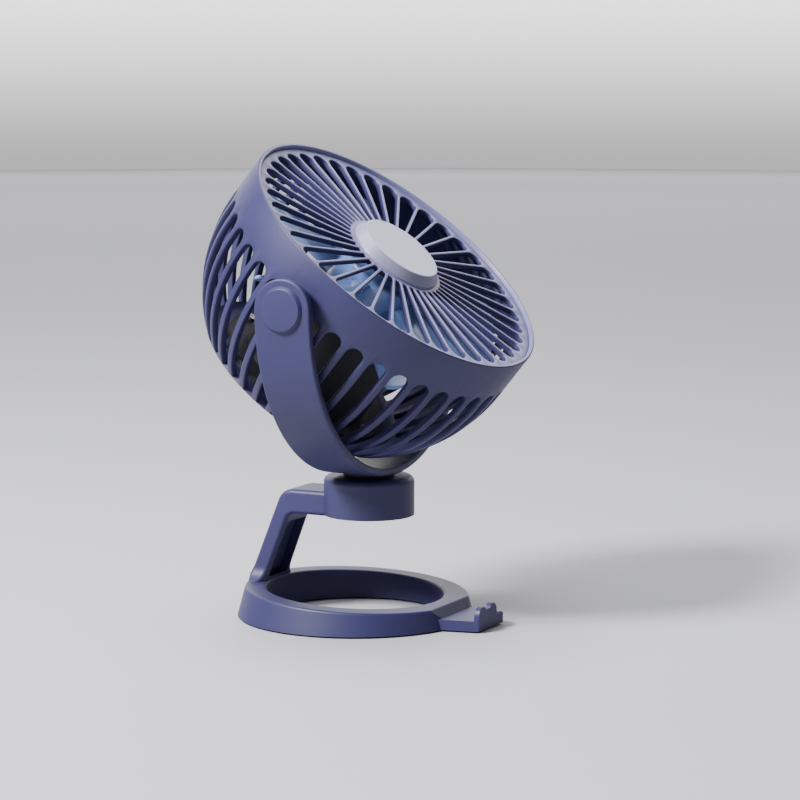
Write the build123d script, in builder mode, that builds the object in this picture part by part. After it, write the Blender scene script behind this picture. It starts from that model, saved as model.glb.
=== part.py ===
from build123d import *
from math import atan2, cos, degrees, pi, radians, sin, sqrt, tan
import os

os.makedirs("parts", exist_ok=True)

# Clearances and cutting allowance, in millimetres
overrun = 4.0
running_gap = 0.06
moving_gap = 0.3
face_gap = 0.1
seat_gap = 0.1
shaft_gap = 0.02

# How far the head leans back
head_tilt = 50.8

# Bowl of the head. Every size in the head is a share of the bowl's radius, as drawn for a radius of 75
bowl_radius = 75.0
head_share = bowl_radius / 75
bowl_wall = 3.0 * head_share
band_depth = 23.3 * head_share
rim_lip = 1.8 * head_share
rim_round = 0.9 * head_share
slot_count = 40
slot_front = 4.9 * head_share
bowl_rib = 3.2 * head_share
rib_round = 0.7 * head_share
rib_root = 2.4 * head_share
rib_root_angle = 6.0
back_depth = 56.0 * head_share
back_round = 11.0 * head_share
slot_rear_angle = 55.0
rear_opening = 34.0 * head_share

# Pivots in the bowl's sides
boss_radius = 11.5 * head_share
boss_depth = 7.0 * head_share
boss_proud = 2.0 * head_share
pivot_shoulder_radius = 5.0 * head_share
pivot_head_radius = 7.4 * head_share
pivot_head_depth = 1.2 * head_share
pivot_thread_radius = 2.0 * head_share
pivot_thread_length = 5.5 * head_share

# Front guard and hub disc
grille_recess = 1.7 * head_share
grille_thickness = 2.6 * head_share
grille_rib = 1.4 * head_share
grille_rim = 3.4 * head_share
grille_slot_start = 24.0 * head_share
hub_base_radius = 22.0 * head_share
hub_base_depth = 1.0 * head_share
hub_top_radius = 19.0 * head_share
hub_rise = 3.3 * head_share
hub_round = 0.8 * head_share
hub_wall = 2.0 * head_share
hub_plug_radius = 5.0 * head_share
hub_plug_length = 4.0 * head_share

# Impeller
blade_count = 5
blade_tip_gap = 5.5 * head_share
blade_root_chord = 25.0 * head_share
blade_tip_chord = 50.0 * head_share
blade_root_pitch = 48.0
blade_tip_pitch = 27.0
blade_camber = 4.0 * head_share
blade_thickness = 1.7 * head_share
blade_middle = 0.4 * head_share
blade_turn = 65.0
impeller_hub_radius = 20.5 * head_share
impeller_hub_wall = 1.8 * head_share
impeller_hub_front = 13.5 * head_share
impeller_hub_length = 24.0 * head_share
impeller_hub_round = 1.5 * head_share
impeller_boss_radius = 4.5 * head_share

# Motor
motor_radius = 15.5 * head_share
motor_length = 20.0 * head_share
motor_round = 1.2 * head_share
motor_front_gap = 3.0 * head_share
shaft_radius = 1.5 * head_share
bearing_radius = 4.0 * head_share
bearing_length = 4.0 * head_share
motor_bore_radius = 3.0 * head_share
motor_screw_circle = 10.0 * head_share
motor_screw_count = 2

# Housing behind the motor
housing_radius = 32.0 * head_share
housing_wall = 2.0 * head_share
housing_front_wall = 2.5 * head_share
housing_flange_wall = 2.5 * head_share
housing_post_radius = 3.2 * head_share
housing_post_circle = 26.3 * head_share
housing_post_count = 4
post_turn = 45.0
upward_turn = -90.0
housing_flange_radius = 42.0 * head_share
housing_screw_circle = 38.0 * head_share
housing_screw_grip = 2.4 * head_share
motor_screw_grip = 4.0 * head_share
battery_pad_radius = 2.5 * head_share
battery_pad_height = 1.8 * head_share
pad_share = 0.78
wire_hole_radius = 3.0 * head_share

# Rear cover
cover_rise = 1.0 * head_share
cover_round = 0.8 * head_share
cover_wall = 2.5 * head_share
cover_skirt = 2.2 * head_share
cover_screw_grip = 6.0 * head_share
screw_hole_gap = 0.3 * head_share

# Battery and circuit board
battery_width = 44.0 * head_share
battery_height = 29.0 * head_share
battery_depth = 10.0 * head_share
battery_round = 2.0 * head_share
board_radius = 20.5 * head_share
board_thickness = 1.6 * head_share
board_post_radius = 2.3 * head_share
board_post_circle = 16.5 * head_share
board_post_count = 3
board_screw_grip = 5.0 * head_share
switch_side = 6.2 * head_share
switch_height = 3.5 * head_share
switch_plunger_radius = 1.7 * head_share
switch_plunger_height = 1.2 * head_share
port_width = 9.0 * head_share
port_height = 3.3 * head_share
port_wall = 0.35 * head_share
port_depth = 6.5 * head_share
port_tongue = 0.7 * head_share
port_offset = 13.0 * head_share
port_inset = 0.3 * head_share
lens_radius = 1.0 * head_share
lens_count = 4
lens_circle = 11.5 * head_share
lens_step = 24.0

# Power button
button_radius = 6.0 * head_share
button_flange = 1.4 * head_share
button_flange_thickness = 1.0 * head_share
button_proud = 0.9 * head_share
button_travel = 0.8 * head_share
button_round = 0.5 * head_share
button_stem_radius = 2.0 * head_share
button_stem_length = 1.5 * head_share

# Small screws
screw_shank_radius = 1.25
screw_head_radius = 2.3
screw_head_depth = 1.5
screw_slot = 0.6
screw_slot_depth = 0.7

# Yoke
yoke_gap = 4.0
yoke_thickness = 3.4
yoke_width = 27.0
yoke_round = 0.8
cap_radius = 10.3
cap_face_radius = 9.1
cap_rise = 1.6
cap_round = 0.5
cap_recess = 0.5
cap_seat_depth = 1.0
pivot_pad_radius = 10.9
pivot_pad_height = 0.8
washer_inner_gap = 0.6
neck_radius = 11.7
neck_rise = 0.4

# Swivel
collar_radius = 20.6
collar_bottom = 47.4
collar_top = 65.2
collar_round = 2.6
collar_wall = 2.6
collar_roof = 4.0
swivel_washer_thickness = 0.6
spigot_radius = 7.0
bush_wall = 2.4
bush_length = 8.0
bush_tower_wall = 2.5
retainer_thickness = 1.4
swivel_screw_radius = 2.5
swivel_screw_head_radius = 4.5
swivel_screw_head_depth = 3.0
swivel_screw_length = 8.0
collar_cover_thickness = 2.0

# Ring foot
ring_centre = -7.0
ring_top_outer = 50.8
ring_top_inner = 40.8
ring_bottom_outer = 53.9
ring_bottom_inner = 38.7
ring_height = 12.1
ring_slope = 2.9
ring_round = 1.2
ring_lift = 0.6
upward_share = 0.9
channel_wall = 2.6
channel_roof = 7.0
channel_width = 5.0
channel_circle = 45.0
tower_overlap = 0.6
base_plate_thickness = 2.4
foot_thickness = 1.4
foot_margin = 0.6
base_screw_count = 4
base_screw_grip = 3.5

# Leg and arm
leg_width = 23.0
leg_root = 8.0
leg_inset = 1.2
arm_back = 39.2
arm_top = 57.7
arm_bottom = 46.5
arm_inner = 35.7
arm_round = 8.0
arm_under_round = 5.0
leg_blend = 7.0
leg_round = 2.0
core_width = 17.6
core_depth = 4.4
core_low = 15.6
core_high = 42.0

# Front tab and phone lip
tab_top = 5.3
tab_root_half = 17.5
tab_root = 38.0
tab_front = 61.3
tab_front_half = 12.8
cut_foot = 43.8
cut_lean = 36.0
lip_height = 11.3
lip_thickness = 2.4
lip_lobe_shares = [(-0.65, 0.99, 0.36), (0.19, 1.0, 0.33), (0.79, 0.53, 0.22)]
lip_web_shares = [0.84, 0.46]

# Sizes that follow from the ones above
bowl_inner = bowl_radius - bowl_wall
slot_half = pi * bowl_radius / slot_count - bowl_rib / 2
arch_line = slot_front - slot_half
back_line = back_depth - back_round
back_turn = sqrt((bowl_radius - back_round) ** 2 - back_line**2)
back_angle = degrees(atan2(back_line, back_turn))
rear_seat = back_depth - bowl_wall
grille_front = band_depth - grille_recess
grille_seat = grille_front - grille_thickness
lip_inner = bowl_radius - rim_lip
grille_slot_end = lip_inner - grille_rim
blade_tip_radius = bowl_inner - blade_tip_gap
boss_face = bowl_radius + boss_proud
impeller_hub_rear = impeller_hub_front - impeller_hub_length
motor_front = impeller_hub_front - impeller_hub_wall - motor_front_gap
motor_rear = motor_front - motor_length
housing_front = motor_rear
cover_radius = rear_opening - seat_gap
cover_flat_depth = back_depth + cover_rise
cover_inner = cover_flat_depth - cover_wall
cover_screw_seat = cover_flat_depth - screw_head_depth - seat_gap
button_hole = button_radius + moving_gap
yoke_inner_radius = bowl_radius + yoke_gap
yoke_outer_radius = yoke_inner_radius + yoke_thickness
pivot_pad_face = yoke_inner_radius - pivot_pad_height
neck_bottom = collar_top + swivel_washer_thickness + face_gap
pivot_height = neck_bottom + neck_rise + yoke_outer_radius
spigot_bottom = collar_top - bush_length - face_gap
bush_radius = spigot_radius + running_gap + bush_wall

# Planes and axes that the pieces share
pivot = Vector(0, 0, pivot_height)
forward = Vector(cos(radians(head_tilt)), 0, sin(radians(head_tilt)))
head = Plane(origin=pivot, x_dir=(0, -1, 0), z_dir=forward)
head_axis = Axis(head.origin, head.z_dir)
head_section = Plane(origin=pivot, x_dir=head.x_dir, z_dir=-head.y_dir)
side = Plane(origin=pivot, x_dir=(1, 0, 0), z_dir=(0, 1, 0))
yoke_front = Plane(origin=pivot, x_dir=(0, 1, 0), z_dir=(1, 0, 0))
ring_section = Plane(origin=(ring_centre, 0, 0), x_dir=(1, 0, 0), z_dir=(0, -1, 0))
ring_axis = Axis((ring_centre, 0, 0), (0, 0, 1))
sides = (1, -1)


def screw_set(seat, circle, count, start, length):
    with BuildPart() as screws:
        with BuildSketch(seat):
            with PolarLocations(circle, count, start):
                Circle(screw_head_radius)
        extrude(amount=screw_head_depth)
        with BuildSketch(seat):
            with PolarLocations(circle, count, start):
                Circle(screw_shank_radius)
        extrude(amount=-length)
        with BuildSketch(seat.offset(screw_head_depth)):
            with PolarLocations(circle, count, start):
                Rectangle(screw_head_radius, screw_slot)
                Rectangle(screw_slot, screw_head_radius)
        extrude(amount=-screw_slot_depth, mode=Mode.SUBTRACT)
    return screws.part


def finish(part, name):
    part.label = name
    export_step(part, f"parts/{name}.step")


# Rib of the bowl: a bent bar along the round wall and over the edge of the flat back
rib_sweep = slot_rear_angle + rib_root_angle - back_angle
with BuildPart() as bowl_rib_bar:
    with BuildSketch(head_section):
        with BuildLine():
            Line((bowl_inner, 0), (bowl_inner, rib_root))
            Line((bowl_inner, rib_root), (bowl_radius, rib_root))
            Line((bowl_radius, rib_root), (bowl_radius, 0))
            CenterArc((0, 0), bowl_radius, 0, -back_angle)
            outer = CenterArc((back_turn, -back_line), back_round, -back_angle, -rib_sweep)
            CenterArc((0, 0), bowl_inner, 0, -back_angle)
            inner = CenterArc((back_turn, -back_line), back_round - bowl_wall, -back_angle, -rib_sweep)
            Line(outer @ 1, inner @ 1)
        make_face()
    extrude(amount=bowl_rib / 2, both=True)
    fillet(bowl_rib_bar.edges().filter_by(GeomType.CIRCLE).group_by(SortBy.RADIUS)[-1], rib_round)

# Head shell: front band with arched lower edge, ribs, rear ring and pivot bosses
with BuildPart() as head_shell:
    with BuildSketch(head_section):
        with BuildLine():
            Polyline(
                (bowl_inner, arch_line),
                (bowl_radius, arch_line),
                (bowl_radius, band_depth),
                (lip_inner, band_depth),
                (lip_inner, grille_seat),
                (bowl_inner, grille_seat),
                close=True,
            )
        make_face()
    revolve(axis=head_axis)
    rim_edges = head_shell.edges().filter_by(GeomType.CIRCLE).group_by(SortBy.RADIUS)[-1]
    fillet(rim_edges.sort_by(head_axis)[-1], rim_round)
    with Locations(head.offset(arch_line)):
        with PolarLocations(bowl_radius, slot_count):
            Cylinder(slot_half, 2 * (bowl_wall + overrun), rotation=(0, 90, 0), mode=Mode.SUBTRACT)
    with BuildSketch(head_section):
        with BuildLine():
            ring_sweep = 90 - slot_rear_angle
            edge = CenterArc((back_turn, -back_line), back_round, -slot_rear_angle, -ring_sweep)
            bend = CenterArc((back_turn, -back_line), back_round - bowl_wall, -slot_rear_angle, -ring_sweep)
            Line(edge @ 0, bend @ 0)
            Polyline(edge @ 1, (rear_opening, -back_depth), (rear_opening, -rear_seat), bend @ 1)
        make_face()
    revolve(axis=head_axis)
    for way in sides:
        with BuildSketch(side.offset(way * boss_face)):
            Circle(boss_radius)
        extrude(amount=-way * boss_depth)
        with BuildSketch(side.offset(way * boss_face)):
            Circle(pivot_thread_radius + shaft_gap)
        extrude(amount=-way * (pivot_thread_length + seat_gap), mode=Mode.SUBTRACT)
    with BuildSketch(head.offset(-rear_seat)):
        with PolarLocations(housing_screw_circle, housing_post_count):
            Circle(screw_shank_radius + shaft_gap)
    extrude(amount=-housing_screw_grip - seat_gap, mode=Mode.SUBTRACT)
    rib_turns = [(k + 1 / 2) * 360 / slot_count for k in range(slot_count)]
    add([bowl_rib_bar.part.rotate(head_axis, turn) for turn in rib_turns], clean=False)
finish(head_shell.part, "head_shell")

# Slot of the front guard, rounded at its outer end
slot_tangent = tan(pi / slot_count)
slot_end_half = (grille_slot_end * slot_tangent - grille_rib / 2) / (1 + slot_tangent)
slot_start_half = grille_slot_start * slot_tangent - grille_rib / 2
slot_turn = grille_slot_end - slot_end_half
with BuildSketch() as grille_slot:
    with BuildLine():
        Line((grille_slot_start, -slot_start_half), (slot_turn, -slot_end_half))
        ThreePointArc((slot_turn, -slot_end_half), (grille_slot_end, 0), (slot_turn, slot_end_half))
        Line((slot_turn, slot_end_half), (grille_slot_start, slot_start_half))
        Line((grille_slot_start, slot_start_half), (grille_slot_start, -slot_start_half))
    make_face()

# Front guard: one plate with radial slots, seated in the rim
with BuildPart() as front_grille:
    with BuildSketch(head.offset(grille_seat)):
        Circle(lip_inner - seat_gap)
        with PolarLocations(0, slot_count):
            add(grille_slot.sketch, mode=Mode.SUBTRACT)
        Circle(hub_plug_radius + seat_gap, mode=Mode.SUBTRACT)
    extrude(amount=grille_thickness)
finish(front_grille.part, "front_grille")

# Hub disc: hollow, with a plug that presses into the guard
hub_top = band_depth + hub_rise
with BuildPart() as hub_cap:
    with BuildSketch(head_section):
        with BuildLine():
            Polyline(
                (0, hub_top),
                (hub_top_radius, hub_top),
                (hub_base_radius, grille_front + hub_base_depth),
                (hub_base_radius, grille_front),
                (hub_top_radius - hub_wall, grille_front),
                (hub_top_radius - hub_wall, hub_top - hub_wall),
                (hub_plug_radius, hub_top - hub_wall),
                (hub_plug_radius, grille_front - hub_plug_length),
                (0, grille_front - hub_plug_length),
                close=True,
            )
        make_face()
    revolve(axis=head_axis)
    fillet(hub_cap.edges().filter_by(GeomType.CIRCLE).sort_by(head_axis)[-1], hub_round)
finish(hub_cap.part, "hub_cap")


# Outline of a blade cut square to its length, on a plane at the given distance from the axis
def blade_section(distance, chord, pitch):
    origin = head.origin + head.x_dir * distance + head.z_dir * blade_middle
    run = Vector(cos(radians(pitch)), sin(radians(pitch)))
    rise = Vector(-sin(radians(pitch)), cos(radians(pitch)))
    low = run * (-chord / 2)
    high = run * (chord / 2)
    bow = rise * blade_camber
    skin = rise * blade_thickness
    with BuildSketch(Plane(origin=origin, x_dir=head.y_dir, z_dir=head.x_dir)) as section:
        with BuildLine():
            ThreePointArc(low, bow, high)
            Line(high, high + skin)
            ThreePointArc(high + skin, bow + skin, low + skin)
            Line(low + skin, low)
        make_face()
    return section.sketch


# Blade: lofted from the hub to past the tip, then trimmed round
blade_root = impeller_hub_radius - impeller_hub_wall
blade_reach = blade_root_chord + blade_tip_chord
with BuildPart() as blade:
    add(blade_section(blade_root, blade_root_chord, blade_root_pitch))
    add(blade_section(blade_tip_radius, blade_tip_chord, blade_tip_pitch))
    loft()
    with BuildSketch(head.offset(blade_middle)):
        Circle(blade_tip_radius)
        Circle(impeller_hub_radius - impeller_hub_wall / 2, mode=Mode.SUBTRACT)
    extrude(amount=blade_reach, both=True, mode=Mode.INTERSECT)

# Impeller: cup-shaped hub over the motor, with its blades
impeller_bore = shaft_radius + shaft_gap
impeller_floor = impeller_hub_front - impeller_hub_wall
with BuildPart() as impeller:
    with BuildSketch(head_section):
        with BuildLine():
            Polyline(
                (impeller_bore, impeller_hub_front),
                (impeller_hub_radius, impeller_hub_front),
                (impeller_hub_radius, impeller_hub_rear),
                (impeller_hub_radius - impeller_hub_wall, impeller_hub_rear),
                (impeller_hub_radius - impeller_hub_wall, impeller_floor),
                (impeller_boss_radius, impeller_floor),
                (impeller_boss_radius, motor_front + moving_gap),
                (impeller_bore, motor_front + moving_gap),
                close=True,
            )
        make_face()
    revolve(axis=head_axis)
    hub_edges = impeller.edges().filter_by(GeomType.CIRCLE).group_by(SortBy.RADIUS)[-1]
    fillet(hub_edges.sort_by(head_axis)[-1], impeller_hub_round)
    add([blade.part.rotate(head_axis, blade_turn + k * 360 / blade_count) for k in range(blade_count)])
finish(impeller.part, "impeller")

# Motor: a round can with a bearing in each end
with BuildPart() as motor_can:
    with BuildSketch(head.offset(motor_rear)):
        Circle(motor_radius)
        Circle(motor_bore_radius, mode=Mode.SUBTRACT)
    extrude(amount=motor_length)
    fillet(motor_can.edges().filter_by(GeomType.CIRCLE).group_by(SortBy.RADIUS)[-1], motor_round)
    for end, way in ((motor_front, -1), (motor_rear, 1)):
        with BuildSketch(head.offset(end)):
            Circle(bearing_radius + shaft_gap)
        extrude(amount=way * bearing_length, mode=Mode.SUBTRACT)
    with BuildSketch(head.offset(motor_rear)):
        with PolarLocations(motor_screw_circle, motor_screw_count):
            Circle(screw_shank_radius + shaft_gap)
    extrude(amount=motor_screw_grip + seat_gap, mode=Mode.SUBTRACT)
finish(motor_can.part, "motor_can")

# Motor bearings: plain sleeves
with BuildPart() as motor_bearings:
    for end, way in ((motor_front, -1), (motor_rear, 1)):
        with BuildSketch(head.offset(end)):
            Circle(bearing_radius)
            Circle(shaft_radius + running_gap, mode=Mode.SUBTRACT)
        extrude(amount=way * bearing_length)
finish(motor_bearings.part, "motor_bearings")

# Motor shaft: from the rear bearing to the front of the impeller
with BuildPart() as motor_shaft:
    with BuildSketch(head.offset(motor_rear + seat_gap)):
        Circle(shaft_radius)
    extrude(amount=impeller_hub_front - motor_rear - seat_gap)
finish(motor_shaft.part, "motor_shaft")

# Motor housing: a cup with a flange that sits on the rear ring of the bowl
flange_front = -rear_seat + housing_flange_wall
housing_inner = housing_radius - housing_wall
with BuildPart() as motor_housing:
    with BuildSketch(head_section):
        with BuildLine():
            Polyline(
                (0, housing_front),
                (housing_radius, housing_front),
                (housing_radius, flange_front),
                (housing_flange_radius, flange_front),
                (housing_flange_radius, -rear_seat),
                (housing_inner, -rear_seat),
                (housing_inner, housing_front - housing_front_wall),
                (0, housing_front - housing_front_wall),
                close=True,
            )
        make_face()
    revolve(axis=head_axis)
    with BuildSketch(head.offset(-rear_seat)):
        with PolarLocations(housing_post_circle, housing_post_count, post_turn):
            Circle(housing_post_radius)
    extrude(until=Until.NEXT)
    with BuildSketch(head.offset(-rear_seat)):
        with PolarLocations(housing_post_circle, housing_post_count, post_turn):
            Circle(screw_shank_radius + shaft_gap)
    extrude(amount=cover_screw_grip + seat_gap, mode=Mode.SUBTRACT)
    with BuildSketch(head.offset(-rear_seat)):
        with PolarLocations(housing_screw_circle, housing_post_count):
            Circle(screw_shank_radius + shaft_gap)
    extrude(amount=housing_flange_wall, mode=Mode.SUBTRACT)
    with BuildSketch(head.offset(housing_front - housing_front_wall)):
        with GridLocations(pad_share * battery_width, pad_share * battery_height, 2, 2):
            Circle(battery_pad_radius)
    extrude(amount=-battery_pad_height)
    with BuildSketch(head.offset(housing_front)):
        with PolarLocations(motor_screw_circle, motor_screw_count):
            Circle(screw_shank_radius + shaft_gap)
        with PolarLocations(motor_screw_circle, motor_screw_count, 90):
            Circle(wire_hole_radius)
    extrude(amount=-housing_front_wall, mode=Mode.SUBTRACT)
finish(motor_housing.part, "motor_housing")


# A plane across the head's axis that faces the rear
def rear_plane(height):
    return Plane(origin=head.origin + head.z_dir * height, x_dir=head.x_dir, z_dir=-head.z_dir)


# Screws of the housing and of the motor
flange_top = head.offset(flange_front)
housing_screw_length = housing_flange_wall + housing_screw_grip
finish(
    screw_set(flange_top, housing_screw_circle, housing_post_count, 0, housing_screw_length),
    "housing_screws",
)
motor_screw_seat = rear_plane(housing_front - housing_front_wall)
motor_screw_length = housing_front_wall + motor_screw_grip
finish(
    screw_set(motor_screw_seat, motor_screw_circle, motor_screw_count, 0, motor_screw_length),
    "motor_screws",
)

# Battery: a flat pack on the pads of the housing's front wall
battery_front = housing_front - housing_front_wall - battery_pad_height
with BuildPart() as battery_pack:
    with BuildSketch(head.offset(battery_front)):
        RectangleRounded(battery_width, battery_height, battery_round)
    extrude(amount=-battery_depth)
finish(battery_pack.part, "battery_pack")

# Heights behind the tilt axis, from the rear cover forward to the circuit board
flange_rest = cover_inner - face_gap
stem_end = flange_rest - button_flange_thickness - button_stem_length
plunger_top = stem_end - button_travel - face_gap
switch_top = plunger_top - switch_plunger_height
board_rear = switch_top - switch_height
board_front = board_rear - board_thickness

# Rear cover: a flat disc with a skirt, screw towers and board posts
skirt_inner = cover_radius - cover_skirt
first_lens = upward_turn - (lens_count - 1) * lens_step / 2
with BuildPart() as rear_cover:
    with BuildSketch(head_section):
        with BuildLine():
            Polyline(
                (0, -cover_flat_depth),
                (cover_radius, -cover_flat_depth),
                (cover_radius, -rear_seat),
                (skirt_inner, -rear_seat),
                (skirt_inner, -cover_inner),
                (0, -cover_inner),
                close=True,
            )
        make_face()
    revolve(axis=head_axis)
    fillet(rear_cover.edges().filter_by(GeomType.CIRCLE).sort_by(head_axis)[0], cover_round)
    with BuildSketch(head.offset(-rear_seat)):
        with PolarLocations(housing_post_circle, housing_post_count, post_turn):
            Circle(housing_post_radius)
    extrude(amount=rear_seat - cover_inner)
    with BuildSketch(head.offset(-board_rear)):
        with PolarLocations(board_post_circle, board_post_count, upward_turn):
            Circle(board_post_radius)
    extrude(amount=board_rear - cover_inner)
    with BuildSketch(head.offset(-board_rear)):
        with PolarLocations(board_post_circle, board_post_count, upward_turn):
            Circle(screw_shank_radius + shaft_gap)
    extrude(amount=-board_screw_grip - seat_gap, mode=Mode.SUBTRACT)
    with BuildSketch(head.offset(-rear_seat)):
        with PolarLocations(housing_post_circle, housing_post_count, post_turn):
            Circle(screw_shank_radius + screw_hole_gap)
    extrude(amount=-bowl_radius, mode=Mode.SUBTRACT)
    with BuildSketch(head.offset(-cover_screw_seat)):
        with PolarLocations(housing_post_circle, housing_post_count, post_turn):
            Circle(screw_head_radius + screw_hole_gap)
    extrude(amount=-bowl_radius, mode=Mode.SUBTRACT)
    with BuildSketch(head.offset(-cover_inner + overrun)):
        Circle(button_hole)
        with Locations((0, port_offset)):
            SlotOverall(port_width + 2 * seat_gap, port_height + 2 * seat_gap)
        with PolarLocations(lens_circle, lens_count, first_lens, lens_count * lens_step):
            Circle(lens_radius + shaft_gap)
    extrude(amount=-bowl_radius, mode=Mode.SUBTRACT)
finish(rear_cover.part, "rear_cover")

# Screws of the rear cover and of the board
cover_screw_length = cover_screw_seat - rear_seat + cover_screw_grip
finish(
    screw_set(
        rear_plane(-cover_screw_seat), housing_post_circle, housing_post_count, post_turn, cover_screw_length
    ),
    "rear_cover_screws",
)
board_screw_length = board_thickness + board_screw_grip
board_screw_seat = head.offset(-board_front)
finish(
    screw_set(board_screw_seat, board_post_circle, board_post_count, upward_turn, board_screw_length),
    "board_screws",
)

# Circuit board
with BuildPart() as control_board:
    with BuildSketch(head.offset(-board_rear)):
        Circle(board_radius)
        with PolarLocations(board_post_circle, board_post_count, upward_turn):
            Circle(screw_shank_radius + shaft_gap, mode=Mode.SUBTRACT)
    extrude(amount=board_thickness)
finish(control_board.part, "control_board")

# Switch under the button
with BuildPart() as tact_switch:
    with BuildSketch(rear_plane(-board_rear)):
        Rectangle(switch_side, switch_side)
    extrude(amount=switch_height)
    with BuildSketch(rear_plane(-switch_top)):
        Circle(switch_plunger_radius)
    extrude(amount=switch_plunger_height)
finish(tact_switch.part, "tact_switch")

# Charging socket: a metal shell with a tongue
port_end = cover_flat_depth - port_inset
with BuildPart() as usb_socket:
    with BuildSketch(head.offset(-board_rear)):
        with Locations((0, port_offset)):
            SlotOverall(port_width, port_height)
    extrude(amount=board_rear - port_end)
    with BuildSketch(head.offset(-port_end)):
        with Locations((0, port_offset)):
            SlotOverall(port_width - 2 * port_wall, port_height - 2 * port_wall)
            Rectangle(port_width - port_height, port_tongue, mode=Mode.SUBTRACT)
    extrude(amount=port_depth, mode=Mode.SUBTRACT)
finish(usb_socket.part, "usb_socket")

# Charge lights: clear plugs in the rear cover
with BuildPart() as indicator_lenses:
    with BuildSketch(head.offset(-cover_flat_depth)):
        with PolarLocations(lens_circle, lens_count, first_lens, lens_count * lens_step):
            Circle(lens_radius)
    extrude(amount=cover_wall)
finish(indicator_lenses.part, "indicator_lenses")

# Power button: a disc with a flange inside the cover and a stem over the switch
with BuildPart() as power_button:
    with BuildSketch(head.offset(-cover_flat_depth - button_proud)):
        Circle(button_radius)
    extrude(amount=cover_flat_depth + button_proud - flange_rest)
    fillet(power_button.edges().filter_by(GeomType.CIRCLE).sort_by(head_axis)[0], button_round)
    with BuildSketch(head.offset(-flange_rest)):
        Circle(button_radius + button_flange)
    extrude(amount=button_flange_thickness)
    with BuildSketch(head.offset(-flange_rest + button_flange_thickness)):
        Circle(button_stem_radius)
    extrude(amount=button_stem_length)
finish(power_button.part, "power_button")

# Yoke: a half-round strap with round tips, a neck and a spigot
arm_face = yoke_outer_radius
cap_seat = arm_face - cap_seat_depth
pivot_head_top = cap_seat + face_gap
pivot_head_seat = pivot_head_top - pivot_head_depth
strap_drop = yoke_outer_radius + overrun
with BuildPart() as yoke:
    with BuildSketch(yoke_front):
        with BuildLine():
            Line((yoke_outer_radius, yoke_width), (yoke_outer_radius, 0))
            CenterArc((0, 0), yoke_outer_radius, 0, -180)
            Polyline(
                (-yoke_outer_radius, 0),
                (-yoke_outer_radius, yoke_width),
                (-yoke_inner_radius, yoke_width),
                (-yoke_inner_radius, 0),
            )
            CenterArc((0, 0), yoke_inner_radius, 180, 180)
            Polyline((yoke_inner_radius, 0), (yoke_inner_radius, yoke_width), (yoke_outer_radius, yoke_width))
        make_face()
    extrude(amount=yoke_width / 2, both=True)
    with BuildSketch(side):
        Circle(yoke_width / 2)
        with Locations((0, strap_drop / 2)):
            Rectangle(yoke_width, strap_drop)
    extrude(amount=strap_drop, both=True, mode=Mode.INTERSECT)
    fillet(yoke.edges(), yoke_round)
    with BuildSketch(Plane.XY.offset(neck_bottom)):
        Circle(neck_radius)
    extrude(amount=pivot_height - yoke_inner_radius - yoke_round - neck_bottom)
    with BuildSketch(Plane.XY.offset(spigot_bottom)):
        Circle(spigot_radius)
    extrude(amount=neck_bottom - spigot_bottom)
    with BuildSketch(Plane.XY.offset(spigot_bottom)):
        Circle(swivel_screw_radius + shaft_gap)
    extrude(amount=swivel_screw_length + seat_gap, mode=Mode.SUBTRACT)
    for way in sides:
        with BuildSketch(side.offset(way * pivot_pad_face)):
            Circle(pivot_pad_radius)
        extrude(amount=way * (cap_seat - pivot_pad_face))
        with BuildSketch(side.offset(way * cap_seat)):
            Circle(cap_radius + seat_gap)
        extrude(amount=way * overrun, mode=Mode.SUBTRACT)
        with BuildSketch(side.offset(way * (pivot_head_seat - face_gap))):
            Circle(pivot_head_radius + moving_gap)
        extrude(amount=way * overrun, mode=Mode.SUBTRACT)
        with BuildSketch(side.offset(way * (pivot_pad_face - overrun))):
            Circle(pivot_shoulder_radius + running_gap)
        extrude(amount=way * (overrun + yoke_thickness), mode=Mode.SUBTRACT)
finish(yoke.part, "yoke")

# Caps over the pivots
cap_section = Plane(origin=pivot, x_dir=(1, 0, 0), z_dir=(0, 0, 1))
cap_face = arm_face + cap_rise
for way, name in ((-1, "pivot_cap_left"), (1, "pivot_cap_right")):
    with BuildPart() as pivot_cap:
        with BuildSketch(cap_section):
            with BuildLine():
                Polyline(
                    (0, way * (cap_seat + cap_recess)),
                    (0, way * cap_face),
                    (cap_face_radius, way * cap_face),
                    (cap_radius, way * arm_face),
                    (cap_radius, way * cap_seat),
                    (pivot_head_radius + moving_gap, way * cap_seat),
                    (pivot_head_radius + moving_gap, way * (cap_seat + cap_recess)),
                    close=True,
                )
            make_face()
        revolve(axis=Axis(pivot, (0, 1, 0)))
        rim = pivot_cap.edges().filter_by(GeomType.CIRCLE).sort_by(Axis.Y)
        fillet(rim[-1 if way > 0 else 0], cap_round)
    finish(pivot_cap.part, name)

# Pivot screws: thread in the bowl's boss, shoulder in the arm
with BuildPart() as pivot_screws:
    for way in sides:
        with BuildSketch(side.offset(way * boss_face)):
            Circle(pivot_shoulder_radius)
        extrude(amount=way * (pivot_head_seat - boss_face))
        with BuildSketch(side.offset(way * pivot_head_seat)):
            Circle(pivot_head_radius)
        extrude(amount=way * pivot_head_depth)
        with BuildSketch(side.offset(way * boss_face)):
            Circle(pivot_thread_radius)
        extrude(amount=-way * pivot_thread_length)
finish(pivot_screws.part, "pivot_screws")

# Friction washers between the arms and the bowl's bosses
with BuildPart() as pivot_washers:
    for way in sides:
        with BuildSketch(side.offset(way * (boss_face + face_gap))):
            Circle(pivot_pad_radius)
            Circle(pivot_shoulder_radius + washer_inner_gap, mode=Mode.SUBTRACT)
        extrude(amount=way * (pivot_pad_face - boss_face - face_gap))
finish(pivot_washers.part, "pivot_washers")

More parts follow.
